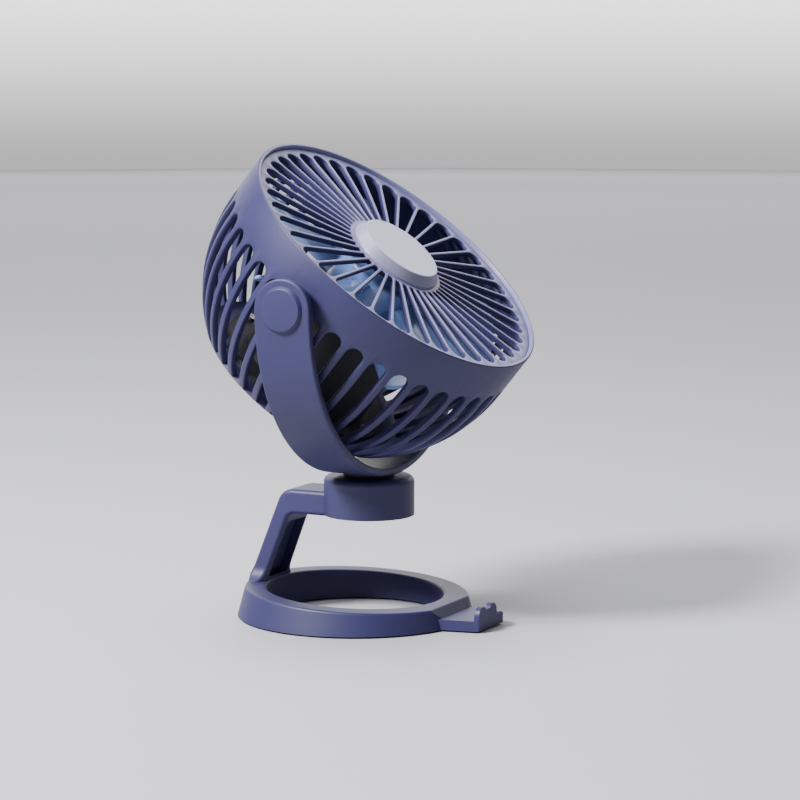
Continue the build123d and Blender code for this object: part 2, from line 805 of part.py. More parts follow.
# Swivel: washer under the neck, bush in the collar, retainer and screw under the spigot
with BuildPart() as swivel_washer:
    with BuildSketch(Plane.XY.offset(collar_top)):
        Circle(neck_radius)
        Circle(spigot_radius + washer_inner_gap, mode=Mode.SUBTRACT)
    extrude(amount=swivel_washer_thickness)
finish(swivel_washer.part, "swivel_washer")

with BuildPart() as swivel_bush:
    with BuildSketch(Plane.XY.offset(collar_top)):
        Circle(bush_radius)
        Circle(spigot_radius + running_gap, mode=Mode.SUBTRACT)
    extrude(amount=-bush_length)
finish(swivel_bush.part, "swivel_bush")

with BuildPart() as swivel_retainer:
    with BuildSketch(Plane.XY.offset(spigot_bottom)):
        Circle(bush_radius + bush_tower_wall)
        Circle(swivel_screw_radius + shaft_gap, mode=Mode.SUBTRACT)
    extrude(amount=-retainer_thickness)
finish(swivel_retainer.part, "swivel_retainer")

with BuildPart() as swivel_screw:
    with BuildSketch(Plane.XY.offset(spigot_bottom - retainer_thickness)):
        Circle(swivel_screw_head_radius)
    extrude(amount=-swivel_screw_head_depth)
    with BuildSketch(Plane.XY.offset(spigot_bottom - retainer_thickness)):
        Circle(swivel_screw_radius)
    extrude(amount=retainer_thickness + swivel_screw_length)
    with BuildSketch(Plane.XY.offset(spigot_bottom - retainer_thickness - swivel_screw_head_depth)):
        RegularPolygon(swivel_screw_radius, 6)
    extrude(amount=swivel_screw_head_depth / 2, mode=Mode.SUBTRACT)
finish(swivel_screw.part, "swivel_screw")

with BuildPart() as collar_cover:
    with BuildSketch(Plane.XY.offset(collar_bottom)):
        Circle(collar_radius - collar_wall - seat_gap)
    extrude(amount=collar_cover_thickness)
finish(collar_cover.part, "collar_cover")

# Leg lines in side view: how far back the outer and inner faces are at a height
ring_back = ring_height + ring_top_outer * tan(radians(ring_slope))
foot_outer = ring_centre - ring_top_outer + leg_inset
foot_inner = ring_centre - ring_top_inner
outer_lean = (foot_outer + arm_back) / (ring_back - arm_top)
inner_lean = (foot_inner + arm_inner) / (ring_back - arm_bottom)


def leg_outer(height):
    return -arm_back + (height - arm_top) * outer_lean


def leg_inner(height):
    return -arm_inner + (height - arm_bottom) * inner_lean


# Leg and arm: one bent bar whose sides flare out into the top of the ring, with rounded edges
leg_half = leg_width / 2
flare_half = leg_half + leg_blend
flare_base = ring_height + (ring_top_outer + ring_top_inner) / 2 * tan(radians(ring_slope))
flare_top = flare_base + leg_blend
with BuildPart() as leg_bar:
    with BuildSketch(Plane.XZ) as leg_side:
        with BuildLine():
            Polyline(
                (leg_outer(leg_root), leg_root),
                (-arm_back, arm_top),
                (0, arm_top),
                (0, arm_bottom),
                (-arm_inner, arm_bottom),
                (leg_inner(leg_root), leg_root),
                close=True,
            )
        make_face()
        fillet(leg_side.vertices().group_by(Axis.Y)[-1].sort_by(Axis.X)[0], arm_round)
        fillet(leg_side.vertices().group_by(Axis.Y)[1].sort_by(Axis.X)[0], arm_under_round)
    extrude(amount=flare_half, both=True)
    with BuildSketch(Plane.YZ):
        with BuildLine():
            RadiusArc((flare_half, flare_base), (leg_half, flare_top), leg_blend)
            Polyline((leg_half, flare_top), (leg_half, arm_top), (-leg_half, arm_top), (-leg_half, flare_top))
            RadiusArc((-leg_half, flare_top), (-flare_half, flare_base), leg_blend)
            Polyline((-flare_half, flare_base), (-flare_half, 0), (flare_half, 0), (flare_half, flare_base))
        make_face()
    extrude(amount=2 * ring_bottom_outer, both=True, mode=Mode.INTERSECT)
    flanks = leg_bar.faces().filter_by(lambda face: face.center().Z > flare_top).filter_by(Axis.Y)
    flares = leg_bar.faces().filter_by(GeomType.CYLINDER).sort_by(Axis.Z)[:2]
    long_edges = []
    for face in flanks + flares:
        for edge in face.edges():
            level = edge.bounding_box().size.Z < seat_gap and edge.center().Z < arm_bottom - leg_blend
            if not level:
                long_edges.append(edge)
    fillet(long_edges, leg_round)
    with BuildSketch(Plane(origin=(ring_centre, 0, 0))):
        Circle(ring_top_outer - leg_inset)
    extrude(amount=arm_top, mode=Mode.INTERSECT)

# Stand: ring foot, front tab with phone lip, leaning leg, arm and collar in one moulding
ring_top_plane = Plane(
    origin=(ring_centre, 0, ring_height), z_dir=(sin(radians(ring_slope)), 0, cos(radians(ring_slope)))
)
mouth_inner = ring_bottom_inner + channel_wall
mouth_outer = ring_bottom_outer - channel_wall
plate_bottom = foot_thickness
plate_top = plate_bottom + base_plate_thickness
tower_radius = bush_radius + bush_tower_wall
collar_inner = collar_radius - collar_wall
with BuildPart() as stand_body:
    with BuildSketch(ring_section):
        with BuildLine():
            grow = (ring_height + overrun) / ring_height
            Polyline(
                (ring_bottom_inner, ring_lift),
                (ring_bottom_outer, ring_lift),
                (ring_bottom_outer + (ring_top_outer - ring_bottom_outer) * grow, ring_height + overrun),
                (ring_bottom_inner + (ring_top_inner - ring_bottom_inner) * grow, ring_height + overrun),
                close=True,
            )
        make_face()
    revolve(axis=ring_axis)
    split(bisect_by=ring_top_plane, keep=Keep.BOTTOM)
    with BuildSketch(Plane.XZ):
        with BuildLine():
            cut_high = ring_height + overrun
            Polyline(
                (cut_foot, tab_top),
                (cut_foot - (cut_high - tab_top) * tan(radians(cut_lean)), cut_high),
                (tab_front, cut_high),
                (tab_front, tab_top),
                close=True,
            )
        make_face()
    extrude(amount=ring_bottom_outer, both=True, mode=Mode.SUBTRACT)
    upward_faces = stand_body.faces().filter_by(lambda f: f.normal_at().Z > upward_share)
    fillet(upward_faces.sort_by(Axis.Z)[-1].edges(), ring_round)
    with BuildSketch(Plane.XY.offset(ring_lift)):
        with BuildLine():
            Polyline(
                (tab_root, -tab_root_half),
                (tab_front, -tab_front_half),
                (tab_front, tab_front_half),
                (tab_root, tab_root_half),
                close=True,
            )
        make_face()
    extrude(amount=tab_top - ring_lift)
    with BuildSketch(Plane(origin=(tab_front, 0, 0), x_dir=(0, 1, 0), z_dir=(1, 0, 0))):
        crests = []
        for across, high, round_share in lip_lobe_shares:
            crests.append((across * tab_front_half, high * lip_height, round_share * lip_height))
        for middle, crest, bend in crests:
            with Locations((middle, crest - bend)):
                Circle(bend)
            with Locations((middle, (crest - bend + ring_lift) / 2)):
                Rectangle(2 * bend, crest - bend - ring_lift)
        for (start, _, _), (end, _, _), web in zip(crests, crests[1:], lip_web_shares):
            with Locations(((start + end) / 2, (web * lip_height + ring_lift) / 2)):
                Rectangle(end - start, web * lip_height - ring_lift)
        with Locations((0, (tab_top + ring_lift) / 2)):
            Rectangle(2 * tab_front_half, tab_top - ring_lift)
    extrude(amount=-lip_thickness)
    with BuildSketch(ring_section):
        with BuildLine():
            Polyline(
                (mouth_inner, 0),
                (mouth_outer, 0),
                (mouth_outer, plate_top),
                (channel_circle + channel_width / 2, plate_top),
                (channel_circle + channel_width / 2, channel_roof),
                (channel_circle - channel_width / 2, channel_roof),
                (channel_circle - channel_width / 2, plate_top),
                (mouth_inner, plate_top),
                close=True,
            )
        make_face()
    revolve(axis=ring_axis, mode=Mode.SUBTRACT)
    with BuildSketch(Plane(origin=(ring_centre, 0, plate_top))):
        with PolarLocations(channel_circle, base_screw_count, post_turn):
            Circle(channel_width / 2 + tower_overlap)
    extrude(amount=channel_roof - plate_top)
    with BuildSketch(Plane(origin=(ring_centre, 0, plate_top))):
        with PolarLocations(channel_circle, base_screw_count, post_turn):
            Circle(screw_shank_radius + shaft_gap)
    extrude(amount=base_screw_grip + seat_gap, mode=Mode.SUBTRACT)
    add(leg_bar.part)
    with BuildSketch(Plane.XZ):
        with BuildLine():
            Polyline(
                (leg_inner(core_low) - core_depth, core_low),
                (leg_inner(core_low) + overrun, core_low),
                (leg_inner(core_high) + overrun, core_high),
                (leg_inner(core_high) - core_depth, core_high),
                close=True,
            )
        make_face()
    extrude(amount=core_width / 2, both=True, mode=Mode.SUBTRACT)
    with BuildSketch(Plane.XZ):
        with BuildLine():
            Polyline(
                (0, collar_bottom),
                (collar_radius, collar_bottom),
                (collar_radius, collar_top),
                (0, collar_top),
                close=True,
            )
        make_face()
    revolve(axis=Axis.Z)
    fillet(stand_body.edges().filter_by(GeomType.CIRCLE).sort_by(Axis.Z)[-1], collar_round)
    with BuildSketch(Plane.XY.offset(arm_bottom)):
        Circle(collar_inner)
    extrude(amount=collar_top - collar_roof - arm_bottom, mode=Mode.SUBTRACT)
    with BuildSketch(Plane.XY.offset(collar_top - collar_roof)):
        Circle(tower_radius)
    extrude(amount=collar_roof - bush_length)
    with BuildSketch(Plane.XY.offset(collar_top)):
        Circle(bush_radius + shaft_gap)
    extrude(amount=-bush_length, mode=Mode.SUBTRACT)
finish(stand_body.part, "stand_body")

# Plate that closes the ring from below, its screws and the rubber ring under it
plate_seat = plate_bottom + screw_head_depth
with BuildPart() as base_plate:
    with BuildSketch(Plane(origin=(ring_centre, 0, plate_bottom))):
        Circle(mouth_outer - seat_gap)
        Circle(mouth_inner + seat_gap, mode=Mode.SUBTRACT)
        with PolarLocations(channel_circle, base_screw_count, post_turn):
            Circle(screw_shank_radius + shaft_gap, mode=Mode.SUBTRACT)
    extrude(amount=base_plate_thickness)
    with BuildSketch(Plane(origin=(ring_centre, 0, plate_bottom))):
        with PolarLocations(channel_circle, base_screw_count, post_turn):
            Circle(screw_head_radius + seat_gap)
    extrude(amount=screw_head_depth, mode=Mode.SUBTRACT)
finish(base_plate.part, "base_plate")

screw_floor = Plane(origin=(ring_centre, 0, plate_seat), x_dir=(1, 0, 0), z_dir=(0, 0, -1))
base_screw_length = plate_top - plate_seat + base_screw_grip
finish(screw_set(screw_floor, channel_circle, base_screw_count, post_turn, base_screw_length), "base_screws")

with BuildPart() as foot_ring:
    with BuildSketch(Plane(origin=(ring_centre, 0, 0))):
        Circle(mouth_outer - foot_margin)
        Circle(mouth_inner + foot_margin, mode=Mode.SUBTRACT)
    extrude(amount=foot_thickness)
finish(foot_ring.part, "foot_ring")
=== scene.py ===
import math

import bmesh
import bpy
from mathutils import Matrix, Vector


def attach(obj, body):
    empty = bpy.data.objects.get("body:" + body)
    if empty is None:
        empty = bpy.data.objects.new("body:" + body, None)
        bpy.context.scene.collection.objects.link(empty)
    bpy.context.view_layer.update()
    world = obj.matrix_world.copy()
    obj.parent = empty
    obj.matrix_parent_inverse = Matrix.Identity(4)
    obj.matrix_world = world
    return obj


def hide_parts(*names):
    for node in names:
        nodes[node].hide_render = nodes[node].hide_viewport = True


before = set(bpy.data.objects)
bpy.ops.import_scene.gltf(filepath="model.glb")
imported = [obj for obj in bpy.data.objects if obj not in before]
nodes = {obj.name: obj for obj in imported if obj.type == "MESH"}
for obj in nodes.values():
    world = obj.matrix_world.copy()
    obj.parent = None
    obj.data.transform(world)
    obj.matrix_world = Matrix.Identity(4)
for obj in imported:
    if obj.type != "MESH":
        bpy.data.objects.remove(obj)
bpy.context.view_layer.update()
mm = 0.001
print("frame loaded:", len(nodes), "solids")

fan = {"pivotHeight": 148.7, "headTilt": 50.8}  # mm and degrees, as the part is stored

tilt = math.radians(fan["headTilt"])
pivotPlace = Matrix.Translation((0, 0, fan["pivotHeight"] * mm))
# the head's own frame: x to the near pivot, z along the axis of the blades
headPlace = pivotPlace @ Matrix((
    (0, math.sin(tilt), math.cos(tilt), 0),
    (-1, 0, 0, 0),
    (0, -math.cos(tilt), math.sin(tilt), 0),
    (0, 0, 0, 1),
))
toMetres = Matrix.Scale(mm, 4)


def linear(hexText):
    channels = [int(hexText[i:i + 2], 16) / 255 for i in (1, 3, 5)]
    return [c / 12.92 if c <= 0.04045 else ((c + 0.055) / 1.055) ** 2.4 for c in channels] + [1.0]


def addNode(tree, kind, settings=None, values=None, links=None):
    node = tree.nodes.new(kind)
    for name, value in (settings or {}).items():
        setattr(node, name, value)
    for socket, value in (values or {}).items():
        node.inputs[socket].default_value = value
    for socket, source in (links or {}).items():
        tree.links.new(source, node.inputs[socket])
    return node


def blankMaterial(name):
    material = bpy.data.materials.new(name)
    material.use_nodes = True
    material.node_tree.nodes.clear()
    return material, material.node_tree


# Moulded plastics: a slow drift of shade from the melt, a fine eroded grain from the tool, a satin skin
moulding = {
    "driftLow": 0.32, "driftHigh": 0.68, "grainLow": 0.3, "grainHigh": 0.7, "grainDepthMm": 0.03,
    "smoother": 0.04, "duller": 0.05, "ior": 1.54, "gloss": 0.5,
}


def mouldedPlastic(name, look):
    material, tree = blankMaterial(name)
    coords = addNode(tree, "ShaderNodeTexCoord")
    drift = addNode(tree, "ShaderNodeTexNoise",
                    values={"Scale": 1 / (look["driftMm"] * mm), "Detail": 3.0, "Roughness": 0.55},
                    links={"Vector": coords.outputs["Object"]})
    tint = addNode(tree, "ShaderNodeValToRGB", links={"Fac": drift.outputs["Fac"]})
    tint.color_ramp.elements[0].position = moulding["driftLow"]
    tint.color_ramp.elements[0].color = linear(look["shade"])
    tint.color_ramp.elements[1].position = moulding["driftHigh"]
    tint.color_ramp.elements[1].color = linear(look["colour"])
    grain = addNode(tree, "ShaderNodeTexNoise",
                    values={"Scale": 1 / (look["grainMm"] * mm), "Detail": 2.0, "Roughness": 0.6},
                    links={"Vector": coords.outputs["Object"]})
    rough = addNode(tree, "ShaderNodeMapRange",
                    values={"From Min": moulding["grainLow"], "From Max": moulding["grainHigh"],
                            "To Min": look["roughness"] - moulding["smoother"],
                            "To Max": look["roughness"] + moulding["duller"]},
                    links={"Value": grain.outputs["Fac"]})
    bump = addNode(tree, "ShaderNodeBump",
                   values={"Strength": look["bump"], "Distance": moulding["grainDepthMm"] * mm},
                   links={"Height": grain.outputs["Fac"]})
    skin = addNode(tree, "ShaderNodeBsdfPrincipled",
                   values={"IOR": moulding["ior"],
                           "Specular IOR Level": look.get("gloss", moulding["gloss"])},
                   links={"Base Color": tint.outputs["Color"], "Roughness": rough.outputs["Result"],
                          "Normal": bump.outputs["Normal"]})
    addNode(tree, "ShaderNodeOutputMaterial", links={"Surface": skin.outputs["BSDF"]})
    return material


# Metals and metal lacquers: a fine mottle, stretched to lines where the metal is drawn, uneven in gloss
drawing = {"linesLow": 0.3, "linesHigh": 0.7, "lineDepthMm": 0.02, "smoother": 0.06, "duller": 0.08}


def drawnMetal(name, look):
    material, tree = blankMaterial(name)
    coords = addNode(tree, "ShaderNodeTexCoord")
    stretch = addNode(tree, "ShaderNodeMapping", values={"Scale": look["stretch"]},
                      links={"Vector": coords.outputs["Object"]})
    lines = addNode(tree, "ShaderNodeTexNoise",
                    values={"Scale": 1 / (look["lineMm"] * mm), "Detail": 4.0, "Roughness": 0.6},
                    links={"Vector": stretch.outputs["Vector"]})
    tint = addNode(tree, "ShaderNodeValToRGB", links={"Fac": lines.outputs["Fac"]})
    tint.color_ramp.elements[0].position = drawing["linesLow"]
    tint.color_ramp.elements[0].color = linear(look["shade"])
    tint.color_ramp.elements[1].position = drawing["linesHigh"]
    tint.color_ramp.elements[1].color = linear(look["colour"])
    rough = addNode(tree, "ShaderNodeMapRange",
                    values={"From Min": drawing["linesLow"], "From Max": drawing["linesHigh"],
                            "To Min": look["roughness"] - drawing["smoother"],
                            "To Max": look["roughness"] + drawing["duller"]},
                    links={"Value": lines.outputs["Fac"]})
    bump = addNode(tree, "ShaderNodeBump",
                   values={"Strength": look["bump"], "Distance": drawing["lineDepthMm"] * mm},
                   links={"Height": lines.outputs["Fac"]})
    skin = addNode(tree, "ShaderNodeBsdfPrincipled", values={"Metallic": look["metallic"]},
                   links={"Base Color": tint.outputs["Color"], "Roughness": rough.outputs["Result"],
                          "Normal": bump.outputs["Normal"]})
    addNode(tree, "ShaderNodeOutputMaterial", links={"Surface": skin.outputs["BSDF"]})
    return material


# ABS with an indigo masterbatch, satin from the tool; the real grain is about 0.1 mm, drawn coarser to show
indigoAbs = mouldedPlastic("indigoAbs", {
    "colour": "#272650", "shade": "#232248", "driftMm": 38.0, "grainMm": 0.9,
    "roughness": 0.5, "bump": 0.16, "gloss": 0.38})
# a paler copy of the indigo ABS, painted light: the sheen on the guard's front faces, the lip's inside and
# the button
paintedLitAbs = mouldedPlastic("paintedLitAbs", {
    "colour": "#6a6a93", "shade": "#62628a", "driftMm": 30.0, "grainMm": 0.9,
    "roughness": 0.38, "bump": 0.12})
# unpainted black ABS of the inner mouldings, dull
darkAbs = mouldedPlastic("darkAbs", {
    "colour": "#0d0e18", "shade": "#0a0b13", "driftMm": 25.0, "grainMm": 1.1,
    "roughness": 0.55, "bump": 0.2, "gloss": 0.3})
# black acetal of the tilt and swivel washers, smooth and slightly shiny
acetalBlack = mouldedPlastic("acetalBlack", {
    "colour": "#15161c", "shade": "#101116", "driftMm": 8.0, "grainMm": 0.8,
    "roughness": 0.35, "bump": 0.06})
# natural nylon of the swivel bush, waxy and off-white
nylonWaxy = mouldedPlastic("nylonWaxy", {
    "colour": "#dcdad2", "shade": "#cfccc2", "driftMm": 8.0, "grainMm": 0.8,
    "roughness": 0.45, "bump": 0.08})
# silicone foot ring, matt black and slightly dusty
siliconeFoot = mouldedPlastic("siliconeFoot", {
    "colour": "#232429", "shade": "#1b1c20", "driftMm": 6.0, "grainMm": 0.7,
    "roughness": 0.72, "bump": 0.3})
# printed circuit laminate under green solder mask, semi-gloss
boardLaminate = mouldedPlastic("boardLaminate", {
    "colour": "#1c5a37", "shade": "#164a2d", "driftMm": 5.0, "grainMm": 0.5,
    "roughness": 0.32, "bump": 0.1})
# shrink-wrap on the battery, thin and glossy
batteryWrap = mouldedPlastic("batteryWrap", {
    "colour": "#5f86a6", "shade": "#527795", "driftMm": 9.0, "grainMm": 2.2,
    "roughness": 0.28, "bump": 0.22})
# milky acrylic of the light plugs, smooth and glossy
acrylicLens = mouldedPlastic("acrylicLens", {
    "colour": "#e6ecf2", "shade": "#d8e0ea", "driftMm": 2.0, "grainMm": 0.6,
    "roughness": 0.16, "bump": 0.05})

# silver lacquer on the hub disc, satin, with the faint mottle of the spray
hubLacquer = drawnMetal("hubLacquer", {
    "colour": "#adafc6", "shade": "#a5a7be", "stretch": (1.0, 1.0, 1.0), "lineMm": 0.8, "metallic": 0.25,
    "roughness": 0.36, "bump": 0.1})
# the same lacquer, darker on the hub's flank: painted shade, as the flank is the same finish in shadow
shadedHubFlank = drawnMetal("shadedHubFlank", {
    "colour": "#85869f", "shade": "#7b7c96", "stretch": (1.0, 1.0, 1.0), "lineMm": 0.8, "metallic": 0.25,
    "roughness": 0.36, "bump": 0.1})
# zinc plate on the screws, pale and slightly cloudy
zincPlate = drawnMetal("zincPlate", {
    "colour": "#c9ccd0", "shade": "#aeb2b8", "stretch": (1.0, 1.0, 4.0), "lineMm": 0.7, "metallic": 1.0,
    "roughness": 0.32, "bump": 0.15})
# drawn steel motor can
canSteel = drawnMetal("canSteel", {
    "colour": "#b4b6bb", "shade": "#9a9da3", "stretch": (1.0, 6.0, 1.0), "lineMm": 1.2, "metallic": 1.0,
    "roughness": 0.36, "bump": 0.15})
# sintered bronze bearings, open-grained
sinteredBronze = drawnMetal("sinteredBronze", {
    "colour": "#a97f45", "shade": "#8d6836", "stretch": (1.0, 1.0, 1.0), "lineMm": 0.5, "metallic": 1.0,
    "roughness": 0.5, "bump": 0.35})


# Tinted polystyrene of the blades: smooth, pale blue, lets some light through
def bladeStyrene(look):
    material, tree = blankMaterial("bladeStyrene")
    coords = addNode(tree, "ShaderNodeTexCoord")
    flow = addNode(tree, "ShaderNodeTexNoise",
                   values={"Scale": 1 / (look["flowMm"] * mm), "Detail": 2.0, "Roughness": 0.5},
                   links={"Vector": coords.outputs["Object"]})
    tint = addNode(tree, "ShaderNodeValToRGB", links={"Fac": flow.outputs["Fac"]})
    tint.color_ramp.elements[0].position = look["flowLow"]
    tint.color_ramp.elements[0].color = linear(look["shade"])
    tint.color_ramp.elements[1].position = look["flowHigh"]
    tint.color_ramp.elements[1].color = linear(look["colour"])
    rough = addNode(tree, "ShaderNodeMapRange",
                    values={"From Min": look["flowLow"], "From Max": look["flowHigh"],
                            "To Min": look["smooth"], "To Max": look["dull"]},
                    links={"Value": flow.outputs["Fac"]})
    skin = addNode(tree, "ShaderNodeBsdfPrincipled",
                   values={"IOR": look["ior"], "Transmission Weight": look["clear"]},
                   links={"Base Color": tint.outputs["Color"], "Roughness": rough.outputs["Result"]})
    addNode(tree, "ShaderNodeOutputMaterial", links={"Surface": skin.outputs["BSDF"]})
    return material


bladeBlue = bladeStyrene({
    "colour": "#7d98d6", "shade": "#728cca", "flowMm": 18.0, "flowLow": 0.3, "flowHigh": 0.7,
    "smooth": 0.2, "dull": 0.3, "clear": 0.15, "ior": 1.57})
print("materials mixed:", len(bpy.data.materials))


# degrees, mm and counts that the makers below share
making = {
    "cornerSteps": 5, "onAxis": 1e-6, "sharpAbove": 38.0, "bevelAbove": 50.0, "weld": 0.01, "spunSteps": 3,
}


def rounded(outline):
    # closed outline of (x, y, corner radius)
    steps = making["cornerSteps"]
    done = []
    for i, (x, y, bend) in enumerate(outline):
        here = Vector((x, y))
        if bend <= 0:
            done.append((x, y))
            continue
        back = (Vector(outline[i - 1][:2]) - here).normalized()
        ahead = (Vector(outline[(i + 1) % len(outline)][:2]) - here).normalized()
        half = back.angle(ahead) / 2
        centre = here + (back + ahead).normalized() * (bend / math.sin(half))
        first = here + back * (bend / math.tan(half)) - centre
        last = here + ahead * (bend / math.tan(half)) - centre
        sweep = first.angle(last)
        for k in range(steps + 1):
            share = k / steps
            arm = first * (math.sin((1 - share) * sweep) / math.sin(sweep))
            arm += last * (math.sin(share * sweep) / math.sin(sweep))
            done.append(tuple(centre + arm))
    return done


def turn(work, profile, steps, place=None):
    # lathe of a closed outline of (radius, height) round the local z axis
    place = place or Matrix.Identity(4)
    rings = []
    for radius, height in profile:
        if radius < making["onAxis"]:
            rings.append([work.verts.new(place @ Vector((0, 0, height)))])
            continue
        ring = []
        for k in range(steps):
            angle = 2 * math.pi * k / steps
            spot = Vector((radius * math.cos(angle), radius * math.sin(angle), height))
            ring.append(work.verts.new(place @ spot))
        rings.append(ring)
    for a, b in zip(rings, rings[1:] + rings[:1]):
        for k in range(steps):
            corners = [a[k % len(a)], a[(k + 1) % len(a)], b[(k + 1) % len(b)], b[k % len(b)]]
            corners = list(dict.fromkeys(corners))
            if len(corners) > 2:
                work.faces.new(corners)


def makeMesh(work, name):
    mesh = bpy.data.meshes.new(name)
    bmesh.ops.recalc_face_normals(work, faces=work.faces[:])
    work.to_mesh(mesh)
    work.free()
    return mesh


def makePiece(mesh, name, place, material, body, node):
    # the mesh is in millimetres in its own frame until here
    mesh.name = name
    mesh.transform(place @ toMetres)
    mesh.materials.clear()
    mesh.materials.append(material)
    mesh.shade_smooth()
    mesh.set_sharp_from_angle(angle=math.radians(making["sharpAbove"]))
    piece = bpy.data.objects.new(name, mesh)
    bpy.context.scene.collection.objects.link(piece)
    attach(piece, body)
    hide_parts(node)
    print("piece", name, "faces", len(mesh.polygons))
    return piece


def spinTree():
    # repeats one unit round the local z axis and welds the joints
    tree = bpy.data.node_groups.new("spinUnits", "GeometryNodeTree")
    sockets = {}
    inputs = {"Unit": "NodeSocketGeometry", "Count": "NodeSocketInt", "Start": "NodeSocketFloat",
              "Weld": "NodeSocketFloat", "Finish": "NodeSocketMaterial"}
    for name, kind in inputs.items():
        sockets[name] = tree.interface.new_socket(name, in_out="INPUT", socket_type=kind).identifier
    tree.interface.new_socket("Round", in_out="OUTPUT", socket_type="NodeSocketGeometry")
    entry = addNode(tree, "NodeGroupInput")
    points = addNode(tree, "GeometryNodePoints", links={"Count": entry.outputs["Count"]})
    index = addNode(tree, "GeometryNodeInputIndex")
    step = addNode(tree, "ShaderNodeMath", {"operation": "DIVIDE"}, {0: 2 * math.pi},
                   {1: entry.outputs["Count"]})
    angle = addNode(tree, "ShaderNodeMath", {"operation": "MULTIPLY_ADD"},
                    links={0: index.outputs["Index"], 1: step.outputs["Value"], 2: entry.outputs["Start"]})
    euler = addNode(tree, "ShaderNodeCombineXYZ", links={"Z": angle.outputs["Value"]})
    facing = addNode(tree, "FunctionNodeEulerToRotation", links={"Euler": euler.outputs["Vector"]})
    placed = addNode(tree, "GeometryNodeInstanceOnPoints",
                     links={"Points": points.outputs[0], "Instance": entry.outputs["Unit"],
                            "Rotation": facing.outputs["Rotation"]})
    real = addNode(tree, "GeometryNodeRealizeInstances", links={"Geometry": placed.outputs["Instances"]})
    welded = addNode(tree, "GeometryNodeMergeByDistance",
                     links={"Geometry": real.outputs["Geometry"], "Distance": entry.outputs["Weld"]})
    painted = addNode(tree, "GeometryNodeSetMaterial",
                      links={"Geometry": welded.outputs["Geometry"], "Material": entry.outputs["Finish"]})
    addNode(tree, "NodeGroupOutput", links={"Round": painted.outputs["Geometry"]})
    return tree, sockets


spinner, spinSockets = spinTree()


def softenEdges(holder, width, steps):
    # rounds the holder's sharp edges, returns a plain mesh and removes the holder
    edge = holder.modifiers.new("edge", "BEVEL")
    edge.width = width
    edge.segments = steps
    edge.limit_method = "ANGLE"
    edge.angle_limit = math.radians(making["bevelAbove"])
    bpy.context.view_layer.update()
    graph = bpy.context.evaluated_depsgraph_get()
    mesh = bpy.data.meshes.new_from_object(holder.evaluated_get(graph), depsgraph=graph)
    bpy.data.objects.remove(holder)
    return mesh


def spin(unit, count, start, material, bevel):
    # repeats a unit mesh, in mm, round the z axis and rounds its edges
    holder = bpy.data.objects.new(unit.name + "Holder", unit)
    bpy.context.scene.collection.objects.link(holder)
    around = holder.modifiers.new("around", "NODES")
    around.node_group = spinner
    around[spinSockets["Count"]] = count
    around[spinSockets["Start"]] = math.radians(start)
    around[spinSockets["Weld"]] = making["weld"]
    around[spinSockets["Finish"]] = material
    return softenEdges(holder, bevel, making["spunSteps"])


def addTurned(mesh, outlines):
    # joins lathe-turned forms to a mesh: (profile, steps, place)
    work = bmesh.new()
    for profile, steps, place in outlines:
        turn(work, profile, steps, place)
    bmesh.ops.recalc_face_normals(work, faces=work.faces[:])
    work.from_mesh(mesh)
    work.to_mesh(mesh)
    work.free()


# Head shell: band with arched lower edge and bent ribs, one unit for each rib
shell = {
    "radius": 75.0, "wall": 3.0, "bandTop": 23.3, "lip": 1.8, "seat": 19.0, "slots": 40, "slotFront": 4.9,
    "rib": 3.2, "backDepth": 56.0, "backRound": 11.0, "slotRear": 55.0, "rootTurn": 6.0, "opening": 34.0,
    "bossRadius": 11.5, "bossFace": 77.0, "bossDepth": 7.0, "edge": 0.6, "bossEdge": 0.5,
    "openingEdge": 0.4, "bandRow": 9.0,  # the band's outer and inner walls have a row of faces up to here
    "paintedHighlightAbove": 0.1, "paintedHighlightWithin": 0.5,  # the inside of the lip that carries a painted highlight, from the seat and from the outer wall
    "archSteps": 8, "ribSteps": 16, "rootSteps": 3, "backSteps": 8, "backFacets": 160, "bossFacets": 64,
}


